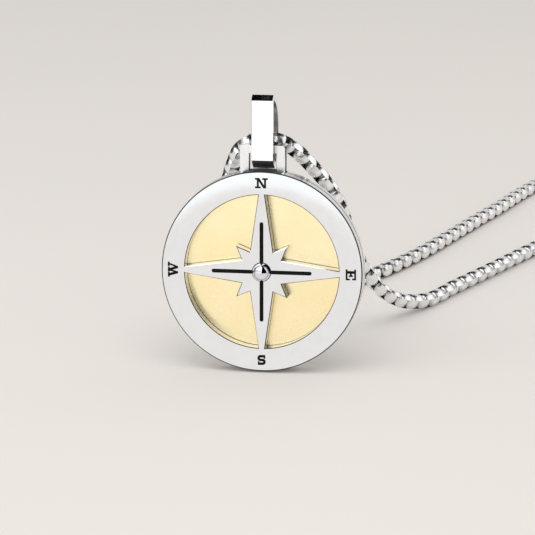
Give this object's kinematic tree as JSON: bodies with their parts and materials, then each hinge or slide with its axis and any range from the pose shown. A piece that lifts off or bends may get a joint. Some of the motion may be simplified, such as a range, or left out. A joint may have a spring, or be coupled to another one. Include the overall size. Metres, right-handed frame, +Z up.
{
  "type": "compass pendant on a chain",
  "caption": "Round steel pendant with a pierced compass rose over a gold disc, a hinged strap bail and a closed round box chain, standing on its rim.",
  "frame": {"origin": "the lowest contact point of the medallion's rim on the surface it stands on", "axes": "+Z up, -Y the way the dial faces (leaning back 4 degrees), +X to the right of the dial"},
  "size_m": [0.158, 0.1477, 0.0385],
  "materials": {
    "polished_steel": "mirror-polished stainless steel",
    "satin_steel": "finely lapped stainless steel, softly reflecting, with polished narrow bevels",
    "brushed_gold": "pale gold plating, softly brushed in all directions",
    "black_enamel": "black enamel fill, satin",
    "chain_steel": "polished steel links, darker in the gaps between them"
  },
  "bodies": {
    "root": {"case": "polished_steel", "inlay_disc": "brushed_gold", "front_plate": "satin_steel", "centre_ball": "polished_steel", "line_n": "black_enamel", "line_e": "black_enamel", "line_s": "black_enamel", "line_w": "black_enamel", "letter_n": "black_enamel", "letter_e": "black_enamel", "letter_s": "black_enamel", "letter_w": "black_enamel", "chain_right": "chain_steel", "chain_left": "chain_steel", "clasp": "chain_steel"},
    "bail": {"bail": "polished_steel"}
  },
  "joints": [
    {"name": "bail_hinge", "type": "hinge", "parent": "root", "child": "bail", "pos_m": [0, 0.00142, 0.03081], "axis": [1, 0, 0], "range_deg": [-12, 8]}
  ]
}
